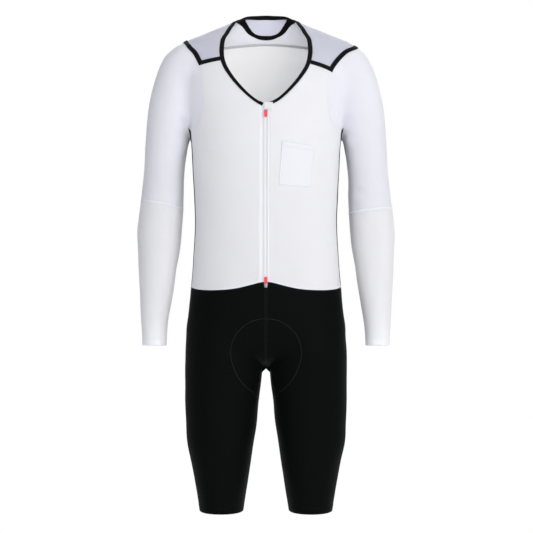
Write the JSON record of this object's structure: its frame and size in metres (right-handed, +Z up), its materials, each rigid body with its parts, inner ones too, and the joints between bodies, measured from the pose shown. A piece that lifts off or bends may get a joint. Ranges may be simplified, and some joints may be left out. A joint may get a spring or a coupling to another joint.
{
  "type": "cycling skinsuit",
  "caption": "Close-fitting cycling skinsuit in its worn shape, with long sleeves, short legs, an open neck, a full front zip and a flat chest pocket.",
  "frame": {"origin": "on the centre line, level with the tops of the wearer's shoulders, where the wearer's shoulders carry the garment", "axes": "+Z up along the standing wearer, -Y out of the front with the zip, +X towards the wearer's left"},
  "size_m": [0.515, 0.214, 0.9993],
  "materials": {
    "white_cloth": "smooth white stretch knit with a faint sheen",
    "yoke_cloth": "finely textured grey-lilac stretch knit",
    "side_mesh": "fine black open mesh",
    "black_cloth": "dense black stretch knit",
    "black_binding": "matt black elastic tape",
    "zip_tape": "tightly woven white tape",
    "zip_chain": "satin white nylon coil",
    "slider_metal": "satin grey die-cast metal",
    "pull_red": "satin red moulded plastic"
  },
  "bodies": {
    "garment": {"front_right": "white_cloth", "front_left": "white_cloth", "back": "white_cloth", "side_right": "side_mesh", "side_left": "side_mesh", "yoke": "yoke_cloth", "back_neck": "yoke_cloth", "neck_tape": "black_binding", "neck_binding": "black_binding", "shoulder_tape_right": "black_binding", "shoulder_tape_left": "black_binding", "sleeve_upper_right": "white_cloth", "sleeve_upper_left": "white_cloth", "sleeve_lower_right": "white_cloth", "sleeve_lower_left": "white_cloth", "shorts_right": "black_cloth", "shorts_left": "black_cloth", "pocket": "white_cloth", "zip_tape_right": "zip_tape", "zip_tape_left": "zip_tape", "zip_chain": "zip_chain", "zip_garage": "white_cloth", "slider_top": "slider_metal", "slider_bottom": "slider_metal"},
    "top_tab": {"pull_top": "pull_red"},
    "bottom_tab": {"pull_bottom": "pull_red"}
  },
  "joints": [
    {"name": "top_tab_hinge", "type": "hinge", "parent": "garment", "child": "top_tab", "pos_m": [-0.0004, -0.114, -0.18415], "axis": [-1, 0, 0], "range_deg": [0, 175]},
    {"name": "bottom_tab_hinge", "type": "hinge", "parent": "garment", "child": "bottom_tab", "pos_m": [-0.0004, -0.09788, -0.5177], "axis": [1, 0, 0], "range_deg": [0, 175]}
  ]
}
